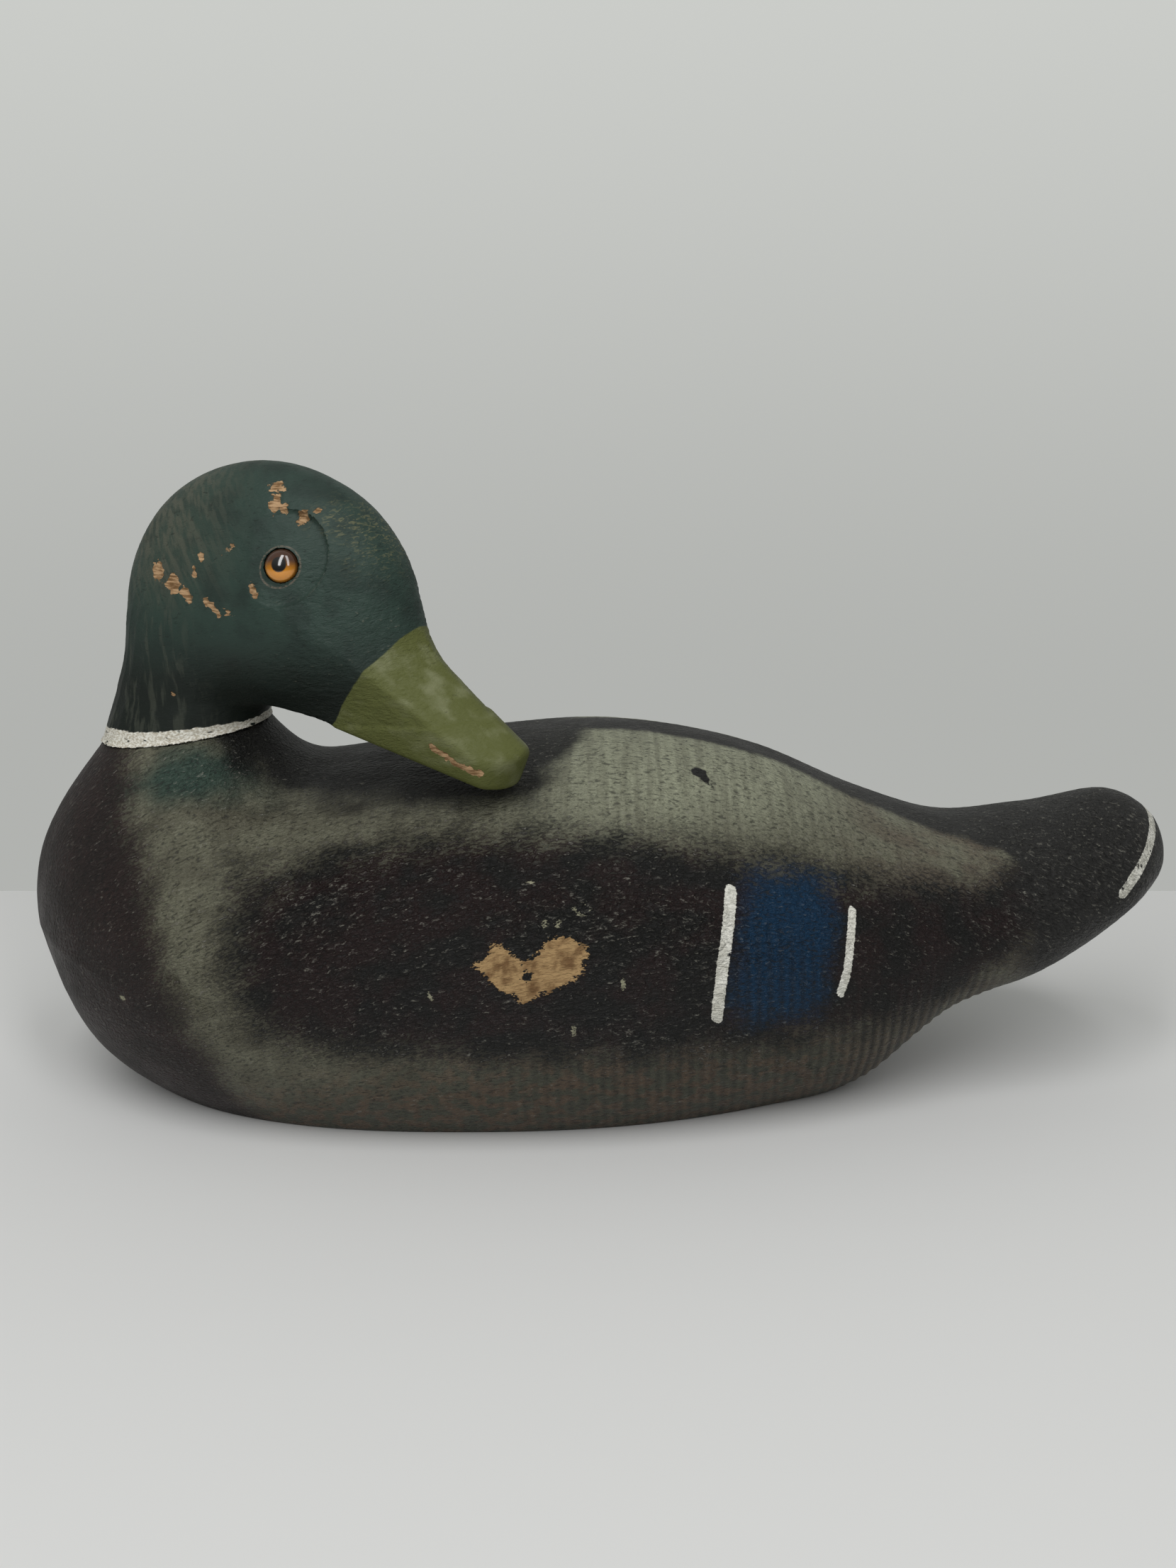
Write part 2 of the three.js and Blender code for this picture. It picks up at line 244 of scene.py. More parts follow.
def ring_normals(rings):
    around = np.roll(rings, -1, axis=1) - np.roll(rings, 1, axis=1)
    normal = np.cross(around, np.gradient(rings, axis=0))
    return normal / np.maximum(np.linalg.norm(normal, axis=-1, keepdims=True), 1e-9)


def ring_girths(rings):
    """How far from the spine each point lies, measured down over the surface."""
    step = np.linalg.norm(np.roll(rings, -1, axis=1) - rings, axis=-1)
    top = KEEL_SPOKES + SIDE_SPOKES
    girth = np.zeros(rings.shape[:2])
    girth[:, top + 1:] = np.cumsum(step[:, top:-1], axis=1)
    girth[:, :top] = np.cumsum(step[:, top - 1::-1], axis=1)[:, ::-1]
    return girth


def ring_faces(rings):
    """Quads between the rings and a fan of triangles to each end point."""
    count, around = rings.shape[:2]
    row = np.arange(count - 1)[:, None] * around
    column = np.arange(around)[None, :]
    following = (column + 1) % around
    quads = np.stack([row + column, row + following, row + around + following, row + around + column], -1)
    quads = quads.reshape(-1, 4).tolist()
    first, last = count * around, count * around + 1
    end = (count - 1) * around
    fans = [[first, (j + 1) % around, j] for j in range(around)]
    fans += [[last, end + j, end + (j + 1) % around] for j in range(around)]
    return quads + fans


def stroke(points, line, radius):
    """How deep inside a round-ended brush stroke along a line of points."""
    away = np.full(len(points), np.inf)
    for a, b in zip(line, line[1:]):
        a, b = np.array(a, float), np.array(b, float)
        t = np.clip((points - a) @ (b - a) / ((b - a) @ (b - a)), 0, 1)
        away = np.minimum(away, np.linalg.norm(points - a - t[:, None] * (b - a), axis=1))
    return radius - away


def blob(points, middle, radii, turn=0.0):
    """How deep inside an oval patch, turned by that many degrees."""
    c, s = math.cos(math.radians(turn)), math.sin(math.radians(turn))
    p, q = (points - np.array(middle, float)).T
    return (1 - np.hypot((c * p + s * q) / radii[0], (c * q - s * p) / radii[1])) * min(radii)


def blobs(points, *patches):
    return np.max([blob(points, *patch) for patch in patches], axis=0)


def inside_outline(points, outline):
    """How deep inside a closed outline of straight lines."""
    corners = np.array(outline, float)
    following = np.roll(corners, -1, axis=0)
    inside = np.zeros(len(points), bool)
    for (p, q), (r, t) in zip(corners, following):
        spans = (points[:, 1] < q) != (points[:, 1] < t)
        inside ^= spans & (points[:, 0] < p + (points[:, 1] - q) * (r - p) / (t - q or 1))
    away = -stroke(points, [*outline, outline[0]], 0)
    return np.where(inside, away, -away)


def along(x, places):
    """A value that follows straight lines between the given places."""
    return np.interp(x, *zip(*places))


# Paint of the body, in x along the duck and girth down from the spine
BREAST_EDGE = ((0, -146), (30, -143), (47, -141), (58, -136), (83, -129.5), (105, -125.5), (118, -120),
               (130, -114.5), (157, -107), (170, -104))  # girth, x
PANEL_FRONT = -106.5
PANEL_TOP = ((-94, 61), (-76, 56), (-30, 58), (0, 60), (40, 59), (60, 53), (75, 50), (88, 44.5),
             (104, 38.5), (120, 36), (130, 25), (138, 8), (146, -20))
PANEL_BOTTOM = ((-105, 108), (-95, 113), (-70, 121.5), (-30, 128.5), (11, 129), (53, 115), (75, 101),
                (94, 90), (108, 78), (121, 67), (133, 57), (141, 90), (148, 200))
PANEL_CORNER = 16
SHADE_EDGE = ((-128, 8), (-111, 33), (-97, 30), (-69, 38), (-43, 46), (-20, 44), (-10, 26), (-2, 0), (2, -20))
SPINE_HALF = ((-60, 0), (-28, 0.5), (-16, 3.5), (0, 5.5), (35, 5.5), (60, 6.5), (80, 9), (100, 13),
              (115, 17), (125, 24), (131, 34))
FAR_SPINE_EXTRA = 9
BLUE_LEFT, BLUE_RIGHT, BLUE_MIDDLE, BLUE_TALL = 40.0, 71.0, 81.0, 24.5
FRONT_BAR = ((37.9, 69.7), (37.1, 79), (35.2, 94), (33.9, 109.1))
REAR_BAR = ((74.6, 61), (73.6, 71), (72.9, 80), (71.1, 88.2))
TAIL_STRIPE = ((176.6, 0, 88), (175.6, 10, 85.6), (173.2, 17.3, 81.8), (169.4, 23.6, 77.4),
               (165.6, 27.6, 73.6), (161.8, 30.2, 69.6))
HEART = ((-30.4, 90.3), (-25.7, 93.6), (-22.6, 96.6), (-19.4, 96.6), (-16.7, 93), (-12.9, 89.8), (-7, 90.8),
         (-4.1, 93.2), (-1.3, 93.6), (-4.3, 96.6), (-4.5, 100.7), (-10.2, 104.2), (-16.7, 106.3),
         (-21.3, 109.4), (-24.5, 106.8), (-27, 105.2), (-31, 103.4), (-31.5, 99.6), (-36.6, 97.6),
         (-36, 95.6), (-32.6, 95.2))
HEART_HOLE = (-20.8, 100.6)
STAINS = (((-142.3, 101.4), (1.5, 0.8), 40), ((-134.5, 96.5), (0.9, 0.5)), ((6.5, 103), (0.8, 1.8)),
          ((-7.6, 118.4), (0.7, 1.9)), ((-48.2, 105), (0.6, 1.5), -30), ((-20.1, 73.6), (1.6, 0.6), 20))
STAIN_RINGS = ((-13.9, 86.2), (-5.1, 82.2))


def grain_rise(x):
    """How far the wood's grain, which arches over the middle of the body, has risen or fallen there."""
    return 0.06 * x - 0.0016 * x**2


def body_paint_fields(points, girth):
    x, y, z = points.T
    here = np.stack([x, girth], axis=1)
    near = y < 0
    fields = {}
    fields["breast"] = along(girth, BREAST_EDGE) - x
    panel = smooth_min(girth - along(x, PANEL_TOP), along(x, PANEL_BOTTOM) - girth, PANEL_CORNER / 2)
    fields["panel"] = smooth_min(panel, x - PANEL_FRONT, PANEL_CORNER)
    fields["spine"] = along(x, SPINE_HALF) - girth + np.where(near, 0, FAR_SPINE_EXTRA * smooth_step(x, -28, 0))
    # Painted shadow of the head and bill on the back, partly dark paint there
    fields["shade"] = along(x, SHADE_EDGE) - girth
    fields["teal"] = blob(here, (-122, 34), (24, 9), -12)
    across = np.minimum(x - BLUE_LEFT + 0.1 * (girth - 70), BLUE_RIGHT - 0.12 * (girth - 61) - x)
    down = BLUE_TALL - np.abs(girth - BLUE_MIDDLE + 0.3 * (x - (BLUE_LEFT + BLUE_RIGHT) / 2))
    fields["blue"] = smooth_min(across, 0.8 * down, 9)
    fields["white"] = np.max([
        stroke(here, FRONT_BAR, 1.75),
        stroke(here, REAR_BAR, 1.25),
        stroke(np.stack([x, np.abs(y), z], axis=1), TAIL_STRIPE, 2.0),
    ], axis=0)
    fields["spot"] = np.where(near, blobs(here, ((30.2, 28.6), (2.6, 2.3)), ((32, 31.5), (1.6, 1.6)),
                                          ((33.9, 34.9), (1.0, 0.9))), -20)
    bare = np.minimum(inside_outline(here, HEART), -blob(here, HEART_HOLE, (1.4, 1.5)))
    fields["bare"] = np.where(near, bare, -20)
    rings = np.max([0.3 - np.abs(blob(here, middle, (2.4, 1.6))) for middle in STAIN_RINGS], axis=0)
    fields["stain"] = np.where(near, np.maximum(rings, blobs(here, *STAINS)), -20)
    fields["ribs"] = rib_strength(x, girth, z)
    fields["rib_place"] = rib_place(points)
    worn = blobs(here, ((12, 84), (40, 9)), ((-85, 74), (16, 14)), ((35, 122), (40, 8)), ((-75, 116), (22, 5)))
    fields["worn"] = np.maximum(smooth_step(worn, -6, 5), 0.8 * smooth_step(x, 100, 140))
    return fields


def rib_strength(x, girth, z):
    """How deep the machine's ribs are left, from 0 to 1: sanded off in front and on the back."""
    stern = smooth_step(x, 48, 88) * smooth_step(z, 62, 38) * smooth_step(x, 135, 112)
    flank = smooth_step(x, -75, 20) * smooth_step(z, 75, 30) * smooth_step(x, 130, 95)
    wing = smooth_step(x, -10, 40) * smooth_step(x, 115, 80) * smooth_step(girth, 66, 88)
    return np.max([stern, 0.5 * flank, 0.5 * wing, 0.12 * smooth_step(x, -120, -80)], axis=0)


def rib_place(points):
    """The place along the body by which the ribs run, which lean a little and aren't quite straight."""
    return points[:, 0] + 0.035 * points[:, 2] + 0.5 * noise(points, 26, 3)


def rib_wave(x):
    """Scallops between sharp ridges: 0 on a ridge and 1 halfway between two."""
    u = x / RIB_PITCH - np.floor(x / RIB_PITCH)
    return 1 - (2 * u - 1) ** 2


def body_relief(points, girth, fields):
    """How far the surface is cut back, in millimetres."""
    x, y, z = points.T
    here = np.stack([x, girth], axis=1)
    cut = 0.45 * fields["ribs"] * rib_wave(fields["rib_place"])
    cut += 0.14 * (1 + noise(points, (26, 15, 15), 1)) + 0.05 * (1 + noise(points, (7, 4.5, 4.5), 2))
    cut += 0.045 * (1 + noise(points, (4.5, 2.2, 2.2), 5)) * smooth_step(fields["ribs"], 0.5, 0.2)
    cut += 0.22 * smooth_step(fields["bare"], -0.3, 0.5)
    near = y < 0
    dent = smooth_step(stroke(here, ((-125, 98.6), (-123.4, 100.4)), 1.9), 0, 1.9)
    scratch = smooth_step(stroke(here, ((-123.4, 100.4), (-118, 105.6), (-112, 109.9)), 0.9), 0, 0.9)
    cut += near * (1.5 * dent + 0.5 * scratch)
    return cut * smooth_step(z, 0, 5) * smooth_step(joint_height(x) - z, 0, 2)


def bill_field(s, v, z):
    run_s, run_z = BILL_END[0] - BILL_ROOT[0], BILL_END[1] - BILL_ROOT[1]
    length = math.hypot(run_s, run_z)
    forward = ((s - BILL_ROOT[0]) * run_s + (z - BILL_ROOT[1]) * run_z) / length
    over = ((z - BILL_ROOT[1]) * run_s - (s - BILL_ROOT[0]) * run_z) / length
    part = np.clip(forward / length, -BILL_INSIDE / length, 1)
    dip = BILL_DIP * np.maximum(part, 0) * (1 - part)
    top, half, edge = lerp(*BILL_TOP, part) - dip, lerp(*BILL_HALF, part), lerp(*BILL_EDGE, part)
    side = np.hypot(v, RIDGE_FLAT) - half
    pitch = np.arctan2(top - edge, BILL_ROOF * half)
    roof = (over - edge) * np.cos(pitch) + side * np.sin(pitch)
    undercut = side * math.sin(BILL_UNDERCUT) - (over - edge) * math.cos(BILL_UNDERCUT)
    field = smooth_max(over - top + RIDGE_FLAT, roof, BILL_ROUND_RIDGE)
    field = smooth_max(field, undercut, BILL_ROUND_EDGE)
    field = smooth_max(field, -over - lerp(*BILL_BOTTOM, part), BILL_ROUND_BOTTOM)
    end = np.maximum(forward - length + BILL_TIP_RADIUS, 0)
    tip = (np.hypot(v / half, end / BILL_TIP_RADIUS) - 1) * BILL_TIP_RADIUS
    field = smooth_max(field, tip, BILL_ROUND_BOTTOM)
    return smooth_max(field, -forward - BILL_INSIDE, BILL_ROUND_ROOT)


def skull_field(s, v, z):
    half = lerp(CHEEK_HALF, CROWN_HALF, np.clip((z - CHEEK_HEIGHT) / (CROWN_HEIGHT - CHEEK_HEIGHT), 0, 1))
    tall = np.where(z > SKULL_Z, SKULL_UP, SKULL_DOWN)
    profile = np.hypot((s - SKULL_S) / SKULL_LENGTH, (z - SKULL_Z) / tall) ** SKULL_FULLNESS
    return ((profile + np.abs(v / half) ** SKULL_FULLNESS) ** (1 / SKULL_FULLNESS) - 1) * SKULL_SCALE


def neck_field(s, v, z):
    part = np.minimum((z - JOINT_HEIGHT) / (NECK_TOP_Z - JOINT_HEIGHT), 1)
    middle = NECK_TOP_S * np.minimum((z - JOINT_HEIGHT) / NECK_LEAN, 1)
    long, wide = lerp(NECK_RADIUS, NECK_TOP_LONG, part), lerp(NECK_RADIUS, NECK_TOP_WIDE, part)
    above = np.maximum(z - NECK_TOP_Z, 0) / NECK_TOP_RISE
    return (np.sqrt(((s - middle) / long) ** 2 + (v / wide) ** 2 + above**2) - 1) * wide


def scoop_depth(s, z):
    """How deep the gouge cut round the eye is."""
    ramp = np.clip((s - SCOOP_START) / (SCOOP_S + SCOOP_RADIUS - SCOOP_START), 0, 1)
    away = np.hypot(s - SCOOP_S, z - SCOOP_Z)
    return SCOOP_DEPTH * ramp * smooth_step((SCOOP_RADIUS - away) / SCOOP_RIM, -0.5, 0.5)


def head_to_world(s, v, z):
    c, t = math.cos(HEAD_TURN), math.sin(HEAD_TURN)
    return np.stack([NECK_X + s * c + v * t, v * c - s * t, z], axis=-1)


def head_form(s, v, z):
    """Below zero inside the head, before its eye sockets are cut."""
    field = smooth_min(skull_field(s, v, z), neck_field(s, v, z), NECK_BLEND)
    field = smooth_min(field, bill_field(s, v, z), FACE_BLEND) + scoop_depth(s, z)
    foot = joint_height(head_to_world(s, v, z)[..., 0]) + GAP - z
    return np.where(s < SKULL_S, np.maximum(field, foot), field)


def slope_of(field, points, step=0.05):
    """The field's gradient at each point."""
    slope = np.empty_like(points)
    for axis in range(3):
        move = np.zeros(3)
        move[axis] = step
        slope[:, axis] = (field(*(points + move).T) - field(*(points - move).T)) / (2 * step)
    return slope


def eye_seat(side):
    """The middle of an eye's lens and the way it looks, in the head's frame."""
    near, far = 0.0, 2 * CHEEK_HALF
    for _ in range(40):
        middle = (near + far) / 2
        if head_form(EYE_S, np.array(side * middle), EYE_Z) < 0:
            near = middle
        else:
            far = middle
    point = np.array([[EYE_S, side * near, EYE_Z]])
    outward = slope_of(head_form, point, EYE_HALF)[0]
    outward /= np.linalg.norm(outward)
    return point[0] - EYE_SUNK * outward, outward


EYES = {side: eye_seat(side) for side in (-1, 1)}


def socket_field(s, v, z, side):
    """Above zero outside an eye's socket."""
    middle, outward = EYES[side]
    offset = np.stack(np.broadcast_arrays(s, v, z), axis=-1) - middle
    depth = offset @ outward
    away = np.sqrt(np.maximum((offset**2).sum(axis=-1) - depth**2, 0))
    return (np.hypot(away / (EYE_RADIUS + GAP), depth / (EYE_HALF + GAP)) - 1) * EYE_HALF


def head_field(s, v, z):
    field = head_form(s, v, z)
    for side in (-1, 1):
        field = np.maximum(field, -socket_field(s, v, z, side))
    return field


def surface_net(field, low, high, cell):
    """One point in each cell that the surface crosses and one quad over each crossed edge."""
    axes = [np.arange(a, b + cell, cell) for a, b in zip(low, high)]
    inside_value = field(*np.meshgrid(*axes, indexing="ij"))
    inside = inside_value < 0
    size = [len(axis) - 1 for axis in axes]
    corners = list(itertools.product((0, 1), repeat=3))

    def corner_of(values, corner):
        return values[tuple(slice(c, c + n) for c, n in zip(corner, size))]

    count = sum(corner_of(inside, corner).astype(np.int8) for corner in corners)
    crossed = (count > 0) & (count < 8)
    number = np.full(size, -1)
    number[crossed] = np.arange(crossed.sum())
    total = np.zeros((crossed.sum(), 3))
    hits = np.zeros(crossed.sum())
    for a, b in itertools.combinations(corners, 2):
        if sum(abs(p - q) for p, q in zip(a, b)) != 1:
            continue
        at_a, at_b = corner_of(inside_value, a)[crossed], corner_of(inside_value, b)[crossed]
        hit = (at_a < 0) != (at_b < 0)
        part = np.where(hit, at_a / np.where(hit, at_a - at_b, 1), 0)
        total += np.where(hit[:, None], np.array(a) + part[:, None] * np.subtract(b, a), 0)
        hits += hit
    points = (np.argwhere(crossed) + total / hits[:, None]) * cell + np.array(low)
    quads = []
    for axis in range(3):
        step = np.zeros(3, int)
        step[axis] = 1
        here = inside[tuple(slice(0, -1 if k == axis else None) for k in range(3))]
        ahead = inside[tuple(slice(1 if k == axis else 0, None) for k in range(3))]
        first, second = [k for k in range(3) if k != axis] if axis != 1 else (2, 0)
        for leaving in (True, False):
            edges = np.argwhere(here & ~ahead if leaving else ~here & ahead)
            quad = []
            for i, j in ((-1, -1), (0, -1), (0, 0), (-1, 0)):
                at = edges.copy()
                at[:, first] += i
                at[:, second] += j
                quad.append(number[tuple(at.T)])
            quad = np.stack(quad, axis=1)
            quads.append(quad if leaving else quad[:, ::-1])
    return points, np.concatenate(quads)


# Paint of the head, in its own frame
BILL_PAINT = (0.758, 0.653, 35.2)
COLLAR_TOP = ((-180, 5.0), (-120, 5.5), (-60, 4.4), (0, 2.2), (60, 4.4), (120, 5.5), (180, 5.0))
CHIPS = (((46.5, 189.6), (1.6, 3.4), 8), ((45.5, 193.6), (3.0, 1.2)), ((49.6, 187.6), (1.0, 2.0)),
         ((55.2, 185.2), (1.5, 2.2), -20), ((59.2, 187.4), (0.9, 0.6)), ((7.6, 168), (2.3, 3.2), 30),
         ((14.8, 164.8), (3.0, 2.6), -30), ((19.6, 162.4), (3.4, 1.5), -35), ((29.7, 159.0), (3.4, 1.2), -35),
         ((34.4, 176.0), (1.6, 0.8), 40), ((43.8, 164.8), (1.1, 2.2), 30), ((22.4, 168.4), (0.9, 1.5)),
         ((35.7, 157.8), (1.6, 0.7), -25), ((24.6, 173.6), (1.4, 0.7), -40), ((12, 131), (0.8, 1.0)))
BILL_WOOD = ((95.3, 121.2), (99.3, 119), (103, 116.8), (110.4, 114.2))


def head_paint_fields(place):
    s, v, z = place.T
    here = np.stack([s, z], axis=1)
    near = v < 0
    fields = {}
    fields["bill"] = BILL_PAINT[0] * s - BILL_PAINT[1] * z + BILL_PAINT[2]
    over_joint = z - joint_height(head_to_world(s, v, z)[:, 0])
    turn = np.degrees(np.arctan2(v, s))
    neck = np.hypot(s, v) < 1.4 * NECK_RADIUS
    fields["collar"] = np.where(neck, along(turn, COLLAR_TOP) - over_joint, -20)
    fields["chips"] = np.where(near, blobs(here, *CHIPS), -20)
    fields["bill_wood"] = np.where(near, stroke(here, BILL_WOOD, 1.0), -20)
    away = np.hypot(s - SCOOP_S, z - SCOOP_Z)
    fields["scoop"] = np.where(s > SCOOP_START, SCOOP_RADIUS - away, -20)
    seat = EYES[-1][0]
    fields["eye_rim"] = np.hypot(s - seat[0], z - seat[2]) - EYE_RADIUS
    fields["olive"] = blobs(here, ((76, 180), (12, 8), -35), ((66, 184), (8, 5)))
    fields["wrinkled"] = face_wrinkles(s, z)
    return fields


def face_wrinkles(s, z):
    """Where the paint on the head is most wrinkled, from 0 to 1."""
    face = smooth_step(s, 40, 62) * smooth_step(z, 186, 160)
    bill = smooth_step(s, 104, 78)
    return np.clip(0.25 + 0.75 * face * (0.35 + 0.65 * bill), 0, 1)


def head_relief(place, fields):
    """How far the surface of the head is cut back, in millimetres."""
    s, v, z = place.T
    cut = HEAD_SANDED + 0.16 * (1 + noise(place, 17, 11)) + 0.05 * (1 + noise(place, 6, 12))
    crease = 1 - np.abs(noise(place, (4.2, 4.2, 1.5), 13))
    crease = np.maximum(crease, 1 - np.abs(noise(place, (3.0, 3.0, 1.2), 14)))
    cut += 0.2 * fields["wrinkled"] * smooth_step(crease, 0.72, 1.0)
    angle = np.arctan2(v, s - 0.3 * (z - JOINT_HEIGHT)) * NECK_RADIUS
    neck_ribs = smooth_step(s, 34, 14) * smooth_step(z, 172, 150)
    cut += 0.2 * neck_ribs * rib_wave(angle / 2 + 0.6 * noise(place, 20, 15))
    bare = np.maximum(fields["chips"], fields["bill_wood"])
    cut += 0.25 * smooth_step(bare, -0.3, 0.5)
    over_joint = z - joint_height(head_to_world(s, v, z)[:, 0]) - GAP
    inside_socket = np.max([-socket_field(s, v, z, side) for side in (-1, 1)], axis=0)
    return cut * smooth_step(over_joint, 0.1, 1.2) * smooth_step(inside_socket, 0.05, -0.6)


def mesh_object(name, points, faces, material, fields=None, place=None):
    """A smooth object from points in millimetres, with its paint fields as attributes."""
    mesh = bpy.data.meshes.new(name)
    mesh.from_pydata((points * MM).tolist(), [], faces)
    mesh.update()
    for key, value in (fields or {}).items():
        layer = mesh.attributes.new(key, "FLOAT", "POINT")
        layer.data.foreach_set("value", np.asarray(value, np.float32))
    if place is not None:
        layer = mesh.attributes.new("place", "FLOAT_VECTOR", "POINT")
        layer.data.foreach_set("vector", np.asarray(place, np.float32).ravel())
    mesh.materials.append(material)
    mesh.shade_smooth()
    made = bpy.data.objects.new(name, mesh)
    bpy.context.scene.collection.objects.link(made)
    return made


class Finish:
    """A material whose nodes are added by short calls, each of which gives back an output."""

    def __init__(self, name):
        self.material = bpy.data.materials.new(name)
        self.material.use_nodes = True
        self.tree = self.material.node_tree
        self.shader = self.tree.nodes["Principled BSDF"]

    def put(self, socket, value):
        if isinstance(value, bpy.types.NodeSocket):
            self.tree.links.new(value, socket)
        elif isinstance(value, tuple) and len(value) == 3 and socket.type == "RGBA":
            socket.default_value = (*value, 1)
        else:
            socket.default_value = value

    def add(self, kind, output, inputs, **settings):
        node = self.tree.nodes.new(kind)
        for key, value in settings.items():
            setattr(node, key, value)
        for key, value in inputs.items():
            self.put(node.inputs[key], value)
        return node.outputs[output]

    def field(self, name):
        return self.add("ShaderNodeAttribute", "Fac", {}, attribute_name=name)

    def place(self):
        return self.add("ShaderNodeAttribute", "Vector", {}, attribute_name="place")

    def axis(self, number):
        return self.add("ShaderNodeSeparateXYZ", number, {0: self.place()})

    def ribs(self):
        """1 halfway between two of the machine's ridges and 0 on them."""
        part = self.math("FRACT", self.math("DIVIDE", self.field("rib_place"), RIB_PITCH))
        return self.ramp(self.math("ABSOLUTE", self.math("SUBTRACT", part, 0.5)), 0.5, 0.0)

    def math(self, operation, a, b=0.0, clamp=False):
        return self.add("ShaderNodeMath", 0, {0: a, 1: b}, operation=operation, use_clamp=clamp)

    def noise(self, size, stretch=(1, 1, 1), turn=(0, 0, 0), detail=2.0, distortion=0.0, roughness=0.5):
        """Smooth noise from 0 to 1, with lumps of that size in millimetres, drawn out by the stretch."""
        turned = tuple(math.radians(angle) for angle in turn)
        scale = tuple(1 / (size * way) for way in stretch)
        vector = self.add("ShaderNodeMapping", 0, {"Vector": self.place(), "Rotation": turned})
        vector = self.add("ShaderNodeMapping", 0, {"Vector": vector, "Scale": scale})
        inputs = {"Vector": vector, "Scale": 1.0, "Detail": detail, "Distortion": distortion}
        inputs["Roughness"] = roughness
        return self.add("ShaderNodeTexNoise", 0, inputs)

    def ramp(self, value, low, high, bottom=0.0, top=1.0):
        inputs = {"Value": value, "From Min": low, "From Max": high, "To Min": bottom, "To Max": top}
        return self.add("ShaderNodeMapRange", 0, inputs, interpolation_type="SMOOTHSTEP")

    def wander(self, field, ragged, reach):
        """A field whose edge is moved in and out by up to half the reach."""
        return self.math("ADD", field, self.math("MULTIPLY", self.math("SUBTRACT", ragged, 0.5), reach))

    def mix(self, part, under, over, blend="MIX"):
        inputs = {0: part, 6: under, 7: over}
        return self.add("ShaderNodeMix", 2, inputs, data_type="RGBA", blend_type=blend)

    def times(self, *factors):
        total = factors[0]
        for factor in factors[1:]:
            total = self.math("MULTIPLY", total, factor)
        return total

    def bump(self, height, distance, strength=1.0, normal=None):
        inputs = {"Height": height, "Distance": distance * MM, "Strength": strength}
        if normal is not None:
            inputs["Normal"] = normal
        return self.add("ShaderNodeBump", 0, inputs)

    def finish(self, color, roughness, normal=None, specular=0.5):
        self.put(self.shader.inputs["Base Color"], color)
        self.put(self.shader.inputs["Roughness"], roughness)
        self.put(self.shader.inputs["Specular IOR Level"], specular)
        if normal is not None:
            self.put(self.shader.inputs["Normal"], normal)
        return self.material


# Paints, as linear colours
GREY = (0.15, 0.148, 0.105)
GREY_DULL = (0.09, 0.085, 0.06)
GREY_PAINTED_LIGHT = (0.29, 0.3, 0.215)
FLANK = (0.062, 0.064, 0.045)
FLANK_BROWN = (0.1, 0.07, 0.046)
RUMP = (0.12, 0.1, 0.073)
MAROON = (0.014, 0.0075, 0.0072)
# Black: the real black paint of the panel and the spot, and also painted shade under the head, in the rib
# grooves and in the wrinkles' furrows
BLACK_PAINT_AND_SHADE = (0.0075, 0.0075, 0.007)
BREAST = (0.03, 0.019, 0.017)
CHARCOAL = (0.02, 0.0195, 0.0185)
TEAL = (0.022, 0.052, 0.042)
BLUE = (0.0015, 0.024, 0.06)
WHITE = (0.78, 0.77, 0.7)
WHITE_DULL = (0.6, 0.59, 0.52)
CREAM = (0.33, 0.32, 0.22)
WOOD = (0.36, 0.235, 0.11)
WOOD_DARK = (0.15, 0.082, 0.034)
WOOD_PALE = (0.45, 0.29, 0.16)
FLECK_AND_HIGHLIGHT = (0.17, 0.165, 0.14)
GREEN = (0.028, 0.05, 0.04)
GREEN_GREY = (0.075, 0.082, 0.062)
GREEN_BLACK = (0.008, 0.0105, 0.0085)
OLIVE = (0.13, 0.13, 0.07)
BILL_GREEN = (0.098, 0.108, 0.032)
BILL_PALE = (0.17, 0.18, 0.09)
AMBER = (0.62, 0.24, 0.012)
AMBER_DARK = (0.05, 0.015, 0.004)


